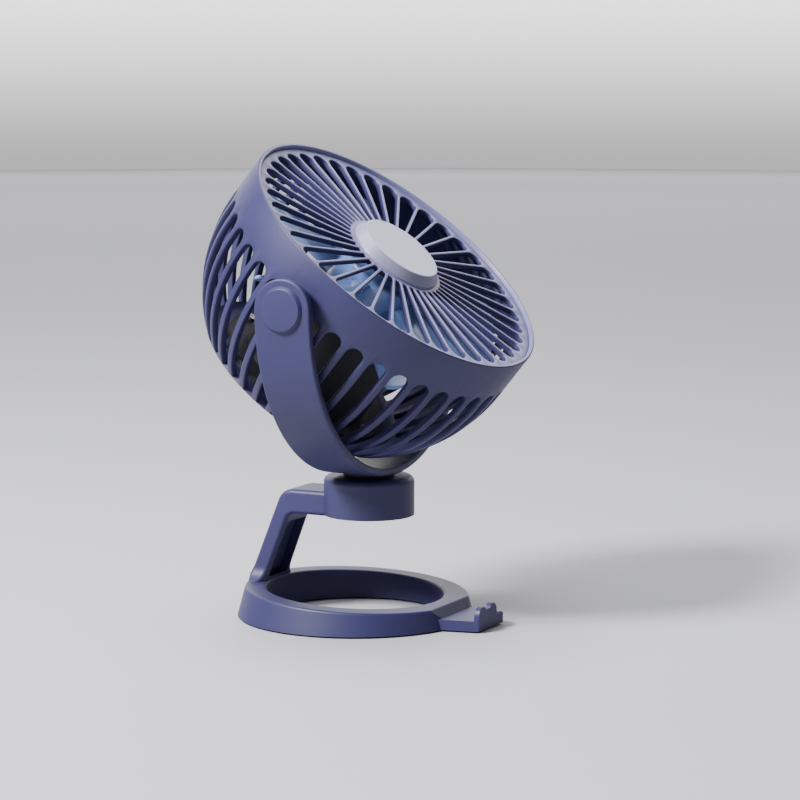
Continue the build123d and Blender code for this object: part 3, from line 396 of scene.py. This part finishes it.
def shellUnit(size):
    work = bmesh.new()
    outer, inner = size["radius"], size["radius"] - size["wall"]
    halfPitch = math.pi * outer / size["slots"]
    slotHalf = halfPitch - size["rib"] / 2
    spring = size["slotFront"] - slotHalf
    line = size["backDepth"] - size["backRound"]
    centre = math.sqrt((outer - size["backRound"]) ** 2 - line ** 2)
    backAngle = math.atan2(line, centre)
    endAngle = math.radians(size["slotRear"] + size["rootTurn"])

    def ribLine(depth):
        points = [(outer - depth, 0.0)]
        for k in range(1, size["ribSteps"] + 1):
            a = backAngle * k / size["ribSteps"]
            points.append(((outer - depth) * math.cos(a), -(outer - depth) * math.sin(a)))
        for k in range(1, size["rootSteps"] + 1):
            a = backAngle + (endAngle - backAngle) * k / size["rootSteps"]
            small = size["backRound"] - depth
            points.append((centre + small * math.cos(a), -line - small * math.sin(a)))
        return points

    arch = []
    steps = size["archSteps"]
    for k in range(steps + 1):
        a = math.pi / 2 * k / steps
        arch.append((halfPitch - slotHalf * math.cos(a), spring + slotHalf * math.sin(a)))
    across = [(-x, h) for x, h in reversed(arch)] + [(0.0, spring)] + arch
    ribColumns = (steps, steps + 1, steps + 2)
    bands, outerRibs, innerRibs = [], {}, {}
    for j, (x, low) in enumerate(across):
        angle = x / outer
        loop = [(outer, low), (outer, size["bandRow"]), (outer, size["bandTop"]),
                (outer - size["lip"], size["bandTop"]), (outer - size["lip"], size["seat"]),
                (inner, size["seat"]), (inner, size["bandRow"]), (inner, low)]
        bands.append([work.verts.new((r * math.cos(angle), r * math.sin(angle), z)) for r, z in loop])
        if j in ribColumns:
            outerRibs[j] = [bands[j][0]] + [work.verts.new((r, x, z)) for r, z in ribLine(0.0)]
            innerRibs[j] = [bands[j][-1]] + [work.verts.new((r, x, z)) for r, z in ribLine(size["wall"])]
    for j in range(len(across) - 1):
        a, b = bands[j], bands[j + 1]
        for k in range(len(a) - 1):
            work.faces.new((a[k], b[k], b[k + 1], a[k + 1]))
        if j in ribColumns and j + 1 in ribColumns:
            for ribs in (outerRibs, innerRibs):
                for p, q, r, s in zip(ribs[j], ribs[j][1:], ribs[j + 1][1:], ribs[j + 1]):
                    work.faces.new((p, q, r, s))
            work.faces.new((outerRibs[j][-1], outerRibs[j + 1][-1], innerRibs[j + 1][-1], innerRibs[j][-1]))
        else:
            work.faces.new((a[0], b[0], b[-1], a[-1]))
    for j in (ribColumns[0], ribColumns[-1]):
        for p, q, r, s in zip(outerRibs[j], outerRibs[j][1:], innerRibs[j][1:], innerRibs[j]):
            work.faces.new((p, q, r, s))
    return makeMesh(work, "shellUnit")


def backOutline(size):
    line = size["backDepth"] - size["backRound"]
    centre = math.sqrt((size["radius"] - size["backRound"]) ** 2 - line ** 2)
    points = []
    steps = size["backSteps"]
    for k in range(steps + 1):
        a = math.radians(size["slotRear"] + (90 - size["slotRear"]) * k / steps)
        points.append((centre + size["backRound"] * math.cos(a), -line - size["backRound"] * math.sin(a)))
    points.append((size["opening"] + size["openingEdge"], -size["backDepth"]))
    points.append((size["opening"], -size["backDepth"] + size["openingEdge"]))
    points.append((size["opening"], -size["backDepth"] + size["wall"]))
    for k in range(steps, -1, -1):
        a = math.radians(size["slotRear"] + (90 - size["slotRear"]) * k / steps)
        small = size["backRound"] - size["wall"]
        points.append((centre + small * math.cos(a), -line - small * math.sin(a)))
    return points


shellMesh = spin(shellUnit(shell), shell["slots"], 180 / shell["slots"], indigoAbs, shell["edge"])
bossRoot = shell["bossFace"] - shell["bossDepth"]
bossOutline = rounded([
    (0, bossRoot, 0), (shell["bossRadius"], bossRoot, 0),
    (shell["bossRadius"], shell["bossFace"], shell["bossEdge"]), (0, shell["bossFace"], 0)])
bossTurns = [Matrix.Rotation(math.radians(angle), 4, "Y") for angle in (90, -90)]
bosses = [(bossOutline, shell["bossFacets"], place) for place in bossTurns]
addTurned(shellMesh, [(backOutline(shell), shell["backFacets"], None)] + bosses)
shellPiece = makePiece(shellMesh, "headShell", headPlace, indigoAbs, "head", "head_shell")
shellPiece.data.materials.append(paintedLitAbs)  # inside of the lip, a painted highlight as pale as the guard's rim
toHead = headPlace.inverted()
paintedHighlightLow = (shell["seat"] + shell["paintedHighlightAbove"]) * mm
paintedHighlightReach = (shell["radius"] - shell["paintedHighlightWithin"]) * mm
for face in shellPiece.data.polygons:
    spot = toHead @ face.center
    if spot.z > paintedHighlightLow and spot.xy.length < paintedHighlightReach:
        face.material_index = 1

# Front guard: a flat plate with round-ended radial slots, one unit for each slot
guard = {
    "rim": 73.1, "front": 21.6, "thickness": 2.6, "slots": 40, "rib": 1.4, "slotStart": 24.0,
    "slotEnd": 69.8, "core": 17.0, "edge": 0.42, "rows": 10, "bends": 8, "weld": 0.001,
    "facing": 0.5,  # least cosine to the head's axis of a face that is pale, with the painted highlight
}


def guardUnit(size):
    work = bmesh.new()
    turnHalf = math.pi / size["slots"]
    slope = math.tan(turnHalf)
    endHalf = (size["slotEnd"] * slope - size["rib"] / 2) / (1 + slope)
    startHalf = size["slotStart"] * slope - size["rib"] / 2
    turnAt = size["slotEnd"] - endHalf
    hole, edge = [(size["slotStart"], 0.0)], [(size["core"], 0.0)]
    hole.append((size["slotStart"], startHalf))
    edge.append((size["core"] * math.cos(turnHalf), size["core"] * math.sin(turnHalf)))
    rows, bends = size["rows"], size["bends"]
    for k in range(1, rows + 1):
        along = size["slotStart"] + (turnAt - size["slotStart"]) * k / rows
        hole.append((along, startHalf + (endHalf - startHalf) * k / rows))
        edge.append((along * math.cos(turnHalf), along * math.sin(turnHalf)))
    for k in range(1, bends + 1):
        a = math.pi / 2 * (1 - k / bends)
        hole.append((turnAt + endHalf * math.cos(a), endHalf * math.sin(a)))
        b = turnHalf * (1 - k / bends)
        edge.append((size["rim"] * math.cos(b), size["rim"] * math.sin(b)))
    corner = (size["rim"] * math.cos(turnHalf), size["rim"] * math.sin(turnHalf))
    top, low = size["front"], size["front"] - size["thickness"]
    for way in (1, -1):
        layers = []
        for z in (top, low):
            holeRow = [work.verts.new((x, way * y, z)) for x, y in hole]
            edgeRow = [work.verts.new((x, way * y, z)) for x, y in edge]
            layers.append((holeRow, edgeRow, work.verts.new((corner[0], way * corner[1], z))))
        for holeRow, edgeRow, cornerPoint in layers:
            for k in range(len(hole) - 1):
                if k == rows + 1:
                    work.faces.new((holeRow[k], edgeRow[k], cornerPoint))
                    work.faces.new((holeRow[k], cornerPoint, edgeRow[k + 1], holeRow[k + 1]))
                else:
                    work.faces.new((holeRow[k], edgeRow[k], edgeRow[k + 1], holeRow[k + 1]))
        (holeTop, edgeTop, cornerTop), (holeLow, edgeLow, cornerLow) = layers
        for k in range(len(hole) - 1):
            work.faces.new((holeTop[k], holeTop[k + 1], holeLow[k + 1], holeLow[k]))
        work.faces.new((edgeTop[0], edgeTop[1], edgeLow[1], edgeLow[0]))
        rimTop = [cornerTop] + edgeTop[rows + 2:]
        rimLow = [cornerLow] + edgeLow[rows + 2:]
        for k in range(len(rimTop) - 1):
            work.faces.new((rimTop[k], rimTop[k + 1], rimLow[k + 1], rimLow[k]))
    bmesh.ops.remove_doubles(work, verts=work.verts[:], dist=size["weld"])
    return makeMesh(work, "guardUnit")


guardMesh = spin(guardUnit(guard), guard["slots"], 0, paintedLitAbs, guard["edge"])
guardPiece = makePiece(guardMesh, "frontGuard", headPlace, paintedLitAbs, "head", "front_grille")
guardPiece.data.materials.append(indigoAbs)  # slot walls, as dark as the shell, against the front faces' painted highlight: painted light and shade by facing
headAxis = headPlace.to_3x3() @ Vector((0, 0, 1))
for face in guardPiece.data.polygons:
    face.material_index = 0 if face.normal.dot(headAxis) > guard["facing"] else 1

# Hub disc: a low cone with a soft edge and a shallow dished face
hub = {
    "baseRadius": 22.0, "topRadius": 19.0, "seat": 21.6, "step": 1.0, "top": 26.6, "plug": 5.0,
    "plugEnd": 17.6, "dish": 0.25, "dishRim": 0.12, "dishInset": 2.4, "dishRound": 2.0,
    "topRound": 0.8, "stepRound": 0.5,
    "facets": 128, "facing": 0.9,  # least cosine to the head's axis of the silver face; the rest takes the flank's painted shade
}

work = bmesh.new()
turn(work, rounded([
    (0, hub["top"] - hub["dish"], 0),
    (hub["topRadius"] - hub["dishInset"], hub["top"] - hub["dishRim"], hub["dishRound"]),
    (hub["topRadius"], hub["top"], hub["topRound"]),
    (hub["baseRadius"], hub["seat"] + hub["step"], hub["stepRound"]), (hub["baseRadius"], hub["seat"], 0),
    (hub["plug"], hub["seat"], 0), (hub["plug"], hub["plugEnd"], 0), (0, hub["plugEnd"], 0),
]), hub["facets"])
hubPiece = makePiece(makeMesh(work, "hubDisc"), "hubDisc", headPlace, hubLacquer, "head", "hub_cap")
# faces off the silver face take the darker lacquer: painted shade on the flank
hubPiece.data.materials.append(shadedHubFlank)
for face in hubPiece.data.polygons:
    face.material_index = 0 if face.normal.dot(headAxis) > hub["facing"] else 1

# Impeller: twisted blades on a cup that covers the motor
blades = {
    "count": 5, "tip": 66.5, "rootFrom": 18.7, "rootChord": 25.0, "tipChord": 50.0, "rootPitch": 48.0,
    "tipPitch": 27.0, "camber": 4.0, "thickness": 1.7, "middle": 0.4, "turn": 65.0, "cornerDrop": 7.0,
    "cornerFrom": 0.7, "hubRadius": 20.5, "hubFront": 13.5, "hubRear": -10.5, "hubWall": 1.8, "edge": 0.5,
    "shaftHole": 1.52, "noseRound": 1.5, "skirtRound": 0.4,
    "columns": 20, "rows": 16, "halvings": 40, "facets": 96,
}


def bladePoint(size, share, across, lift):
    # share along the blade, across from edge to edge (-1 to 1), lift over the hollow side
    ends = []
    for chord, pitch in ((size["rootChord"], size["rootPitch"]), (size["tipChord"], size["tipPitch"])):
        bow = (chord ** 2 / 4 + size["camber"] ** 2) / (2 * size["camber"])
        a = across * math.asin(chord / 2 / bow)
        run, rise = bow * math.sin(a), bow * math.cos(a) - bow + size["camber"] + lift
        p = math.radians(pitch)
        ends.append(Vector((run * math.cos(p) - rise * math.sin(p),
                            run * math.sin(p) + rise * math.cos(p))))
    flat = ends[0].lerp(ends[1], share)
    along = size["rootFrom"] + (size["tip"] - size["rootFrom"]) * share
    return Vector((along, flat.x, size["middle"] + flat.y))


def bladeUnit(size):
    work = bmesh.new()
    columns, rows = size["columns"], size["rows"]
    layers = []
    for lift in (0.0, size["thickness"]):
        grid = []
        for i in range(columns + 1):
            across = -1 + 2 * i / columns
            past = max(0.0, (abs(across) - size["cornerFrom"]) / (1 - size["cornerFrom"]))
            reach = size["tip"] - size["cornerDrop"] * (1 - math.sqrt(max(0.0, 1 - past ** 2)))
            low, high = 0.0, 1.0
            for k in range(size["halvings"]):  # finds where this line meets the tip
                middle = (low + high) / 2
                if bladePoint(size, middle, across, lift).xy.length > reach:
                    high = middle
                else:
                    low = middle
            shares = [low * k / rows for k in range(rows + 1)]
            grid.append([work.verts.new(bladePoint(size, share, across, lift)) for share in shares])
        layers.append(grid)
    for grid in layers:
        for i in range(columns):
            for k in range(rows):
                work.faces.new((grid[i][k], grid[i + 1][k], grid[i + 1][k + 1], grid[i][k + 1]))
    a, b = layers
    for i in range(columns):
        for k in (0, rows):
            work.faces.new((a[i][k], a[i + 1][k], b[i + 1][k], b[i][k]))
    for k in range(rows):
        for i in (0, columns):
            work.faces.new((a[i][k], a[i][k + 1], b[i][k + 1], b[i][k]))
    return makeMesh(work, "bladeUnit")


bladeMesh = spin(bladeUnit(blades), blades["count"], blades["turn"], bladeBlue, blades["edge"])
cupInner = blades["hubRadius"] - blades["hubWall"]
cupFloor = blades["hubFront"] - blades["hubWall"]
cupOutline = rounded([
    (blades["shaftHole"], blades["hubFront"], 0),
    (blades["hubRadius"], blades["hubFront"], blades["noseRound"]),
    (blades["hubRadius"], blades["hubRear"], blades["skirtRound"]), (cupInner, blades["hubRear"], 0),
    (cupInner, cupFloor, 0), (blades["shaftHole"], cupFloor, 0)])
addTurned(bladeMesh, [(cupOutline, blades["facets"], None)])
makePiece(bladeMesh, "impellerBlades", headPlace, bladeBlue, "rotor", "impeller")

# Yoke: a flat strap bent half round, with full-round tips, pads, a neck and a spigot
strap = {
    "inner": 79.0, "outer": 82.4, "half": 13.5, "edge": 0.8, "edgeSteps": 4, "padRadius": 10.9,
    "padFace": 78.2, "padHole": 5.06, "padRound": 0.3, "padSink": 0.5, "neckRadius": 11.7, "neckLow": 65.9,
    "neckHigh": 69.0, "neckRound": 0.3, "spigotRadius": 7.0, "spigotLow": 57.1,
    "loops": (0.0, 4.5, 9.0, 12.0),  # half widths of the mesh's inner loops
    "bends": 72, "tips": 20, "weld": 0.002, "padFacets": 64, "neckFacets": 72,
}


def strapPoint(along, side, radius):
    # along runs from 0 at the near pivot to 1 at the far pivot; beyond these it is mm up the straight tips
    if along < 0:
        return Vector((side, -radius, -along))
    if along > 1:
        return Vector((side, radius, along - 1))
    angle = math.pi * along
    return Vector((side, -radius * math.cos(angle), -radius * math.sin(angle)))


def strapMesh(size):
    work = bmesh.new()
    bends, tips = size["bends"], size["tips"]
    layers = []
    for radius in (size["inner"], size["outer"]):
        loops = []
        for half in size["loops"] + (size["half"],):
            loop = []
            for k in range(bends + 1):
                loop.append(strapPoint(k / bends, half, radius))
            for k in range(1, tips):
                a = math.pi * k / tips
                loop.append(strapPoint(1 + half * math.sin(a), half * math.cos(a), radius))
            for k in range(bends + 1):
                loop.append(strapPoint(1 - k / bends, -half, radius))
            for k in range(1, tips):
                a = math.pi * k / tips
                loop.append(strapPoint(-half * math.sin(a), -half * math.cos(a), radius))
            loops.append([work.verts.new(p) for p in loop])
        for a, b in zip(loops, loops[1:]):
            for k in range(len(a)):
                m = (k + 1) % len(a)
                work.faces.new((a[k], a[m], b[m], b[k]))
        layers.append(loops[-1])
    a, b = layers
    for k in range(len(a)):
        m = (k + 1) % len(a)
        work.faces.new((a[k], a[m], b[m], b[k]))
    bmesh.ops.remove_doubles(work, verts=work.verts[:], dist=size["weld"])
    holder = bpy.data.objects.new("strapHolder", makeMesh(work, "strap"))
    bpy.context.scene.collection.objects.link(holder)
    return softenEdges(holder, size["edge"], size["edgeSteps"])


yokeMesh = strapMesh(strap)
padRoot = strap["inner"] + strap["padSink"]
padOutline = rounded([
    (strap["padHole"], strap["padFace"], 0), (strap["padRadius"], strap["padFace"], strap["padRound"]),
    (strap["padRadius"], padRoot, 0), (strap["padHole"], padRoot, 0)])
padTurns = [Matrix.Rotation(math.radians(angle), 4, "X") for angle in (90, -90)]
pads = [(padOutline, strap["padFacets"], place) for place in padTurns]
# the strap's heights are above the table, its mesh is about the pivot
neckHigh = strap["neckHigh"] - fan["pivotHeight"]
neckLow = strap["neckLow"] - fan["pivotHeight"]
spigotLow = strap["spigotLow"] - fan["pivotHeight"]
neckOutline = rounded([
    (0, neckHigh, 0), (strap["neckRadius"], neckHigh, 0), (strap["neckRadius"], neckLow, strap["neckRound"]),
    (strap["spigotRadius"], neckLow, 0), (strap["spigotRadius"], spigotLow, strap["neckRound"]),
    (0, spigotLow, 0)])
addTurned(yokeMesh, pads + [(neckOutline, strap["neckFacets"], None)])
makePiece(yokeMesh, "yokeStrap", pivotPlace, indigoAbs, "yoke_frame", "yoke")

# Pivot caps: low buttons set in the strap
cap = {
    "radius": 10.3, "face": 9.1, "seat": 81.4, "arm": 82.4, "top": 84.0, "armRound": 0.2, "topRound": 0.55,
    "facets": 96,
}
capOutline = rounded([
    (0, cap["seat"], 0), (cap["radius"], cap["seat"], 0), (cap["radius"], cap["arm"], cap["armRound"]),
    (cap["face"], cap["top"], cap["topRound"]), (0, cap["top"], 0)])
for name, node, angle in (("pivotCapNear", "pivot_cap_left", 90), ("pivotCapFar", "pivot_cap_right", -90)):
    work = bmesh.new()
    turn(work, capOutline, cap["facets"], Matrix.Rotation(math.radians(angle), 4, "X"))
    makePiece(makeMesh(work, name), name, pivotPlace, indigoAbs, "yoke_frame", node)

# Solids that show as they are, or lie inside, take a finish only
finishes = {
    "stand_body": indigoAbs, "base_plate": indigoAbs, "collar_cover": indigoAbs, "rear_cover": indigoAbs,
    "power_button": paintedLitAbs, "motor_housing": darkAbs, "tact_switch": darkAbs, "motor_can": canSteel,
    "motor_shaft": zincPlate, "motor_bearings": sinteredBronze, "battery_pack": batteryWrap,
    "control_board": boardLaminate, "usb_socket": canSteel, "indicator_lenses": acrylicLens,
    "foot_ring": siliconeFoot, "pivot_washers": acetalBlack, "swivel_washer": acetalBlack,
    "swivel_bush": nylonWaxy, "swivel_retainer": zincPlate, "swivel_screw": zincPlate,
    "pivot_screws": zincPlate, "base_screws": zincPlate, "board_screws": zincPlate,
    "housing_screws": zincPlate, "motor_screws": zincPlate, "rear_cover_screws": zincPlate,
    # under the pieces made above
    "head_shell": indigoAbs, "front_grille": paintedLitAbs, "hub_cap": hubLacquer, "impeller": bladeBlue,
    "yoke": indigoAbs, "pivot_cap_left": indigoAbs, "pivot_cap_right": indigoAbs,
}
for name, material in finishes.items():
    nodes[name].data.materials.clear()
    nodes[name].data.materials.append(material)
print("solids finished:", len(finishes))

# Floor, light and camera
studio = {  # metres and degrees
    "floor": "#a8a8ae", "farFloorPaintedLight": "#c4c4ca", "floorLightPaintedFrom": 2.5, "floorHalf": 4.0, "floorDrop": 0.0002,
    "floorRough": 0.8, "sky": "#ffffff", "skyStrength": 0.1,
    "paperAway": 2.8, "paperHigh": 2.4, "paperFacets": 72,
    "paperLit": 26.0, "paperFades": 48.0, "paperDim": 0.1,  # angles from straight behind, then the dim share
    "paperFoot": 0.62, "paperGlow": 2.8, "paperFade": 0.3,  # strength at the foot and above, fade's height
}

floorMesh = bpy.data.meshes.new("floor")
reach, floorLevel = studio["floorHalf"], -studio["floorDrop"]
floorMesh.from_pydata([(-reach, -reach, floorLevel), (reach, -reach, floorLevel),
                       (reach, reach, floorLevel), (-reach, reach, floorLevel)], [], [(0, 1, 2, 3)])
floor = bpy.data.objects.new("floor", floorMesh)
bpy.context.scene.collection.objects.link(floor)
floorPaint, floorTree = blankMaterial("matt floor paint")
# painted light: the floor is a little paler close to the paper, to make up for the less light that reaches
# it there
floorCoords = addNode(floorTree, "ShaderNodeTexCoord")
floorAway = addNode(floorTree, "ShaderNodeVectorMath", {"operation": "LENGTH"},
                    links={0: floorCoords.outputs["Object"]})
floorShare = addNode(floorTree, "ShaderNodeMapRange", {"interpolation_type": "SMOOTHSTEP"},
                     {"From Min": studio["floorLightPaintedFrom"], "From Max": studio["paperAway"]},
                     {"Value": floorAway.outputs["Value"]})
floorTint = addNode(floorTree, "ShaderNodeValToRGB", links={"Fac": floorShare.outputs["Result"]})
floorTint.color_ramp.elements[0].color = linear(studio["floor"])
floorTint.color_ramp.elements[1].color = linear(studio["farFloorPaintedLight"])
floorSkin = addNode(floorTree, "ShaderNodeBsdfPrincipled", values={"Roughness": studio["floorRough"]},
                    links={"Base Color": floorTint.outputs["Color"]})
addNode(floorTree, "ShaderNodeOutputMaterial", links={"Surface": floorSkin.outputs["BSDF"]})
floorMesh.materials.append(floorPaint)

# paper all round that glows though it is no lamp, painted light that also lights the fan: brightest on the
# side opposite the camera, dim elsewhere and dimmer at its foot
view = {
    "place": (0.72495, -1.40716, 0.32027), "level": (-0.4501, 0.8930), "down": 7.94,  # metres and degrees
    "lens": 159.03, "sensor": 36.0, "near": 0.05, "far": 50.0,
}
work = bmesh.new()
columns = []
for k in range(studio["paperFacets"]):
    angle = 2 * math.pi * k / studio["paperFacets"]
    x, y = studio["paperAway"] * math.cos(angle), studio["paperAway"] * math.sin(angle)
    columns.append([work.verts.new((x, y, z)) for z in (floorLevel, studio["paperHigh"])])
for (a, b), (c, d) in zip(columns, columns[1:] + columns[:1]):
    work.faces.new((a, b, d, c))
paperMesh = makeMesh(work, "backdropPaper")
paper = bpy.data.objects.new("backdropPaper", paperMesh)
bpy.context.scene.collection.objects.link(paper)
paperLit, paperTree = blankMaterial("lit backdrop paper")
paperCoords = addNode(paperTree, "ShaderNodeTexCoord")
paperHeight = addNode(paperTree, "ShaderNodeSeparateXYZ", links={"Vector": paperCoords.outputs["Object"]})
fade = addNode(paperTree, "ShaderNodeMapRange", {"interpolation_type": "SMOOTHSTEP"},
               {"From Min": 0.0, "From Max": studio["paperFade"], "To Min": studio["paperFoot"],
                "To Max": studio["paperGlow"]}, {"Value": paperHeight.outputs["Z"]})
behind = [v / studio["paperAway"] for v in view["level"]] + [0.0]
facing = addNode(paperTree, "ShaderNodeVectorMath", {"operation": "DOT_PRODUCT"}, {1: behind},
                 {0: paperCoords.outputs["Object"]})
spread = addNode(paperTree, "ShaderNodeMapRange", {"interpolation_type": "SMOOTHSTEP"},
                 {"From Min": math.cos(math.radians(studio["paperFades"])),
                  "From Max": math.cos(math.radians(studio["paperLit"])),
                  "To Min": studio["paperDim"], "To Max": 1.0},
                 {"Value": facing.outputs["Value"]})
both = addNode(paperTree, "ShaderNodeMath", {"operation": "MULTIPLY"},
               links={0: fade.outputs["Result"], 1: spread.outputs["Result"]})
glow = addNode(paperTree, "ShaderNodeEmission", values={"Color": linear(studio["sky"])},
               links={"Strength": both.outputs["Value"]})
addNode(paperTree, "ShaderNodeOutputMaterial", links={"Surface": glow.outputs["Emission"]})
paperMesh.materials.append(paperLit)

world = bpy.data.worlds.new("studio")
world.use_nodes = True
world.node_tree.nodes.clear()
sky = addNode(world.node_tree, "ShaderNodeBackground",
              values={"Color": linear(studio["sky"]), "Strength": studio["skyStrength"]})
addNode(world.node_tree, "ShaderNodeOutputWorld", links={"Surface": sky.outputs["Background"]})
bpy.context.scene.world = world

lamps = [  # name, place, aim, width and height in metres, then watts
    ("topSoftbox", (-0.15, 0.05, 1.15), (0.0, 0.0, 0.12), 0.8, 0.8, 16.0),
    ("keySoftbox", (-0.66, -1.12, 1.24), (0.0, 0.0, 0.16), 0.4, 0.4, 94.0),
]
for name, place, aim, width, height, watts in lamps:
    light = bpy.data.lights.new(name, "AREA")
    light.shape = "RECTANGLE"
    light.size, light.size_y = width, height
    light.energy = watts
    lamp = bpy.data.objects.new(name, light)
    lamp.location = place
    lamp.rotation_euler = (Vector(aim) - Vector(place)).to_track_quat("-Z", "Y").to_euler()
    bpy.context.scene.collection.objects.link(lamp)

camera = bpy.data.cameras.new("photoCamera")
camera.lens = view["lens"]
camera.sensor_width = view["sensor"]
camera.clip_start, camera.clip_end = view["near"], view["far"]
cameraObject = bpy.data.objects.new("photoCamera", camera)
dip = math.radians(view["down"])
aim = Vector((view["level"][0] * math.cos(dip), view["level"][1] * math.cos(dip), -math.sin(dip)))
cameraObject.location = view["place"]
cameraObject.rotation_euler = aim.to_track_quat("-Z", "Y").to_euler()
bpy.context.scene.collection.objects.link(cameraObject)
bpy.context.scene.camera = cameraObject
print("studio set")
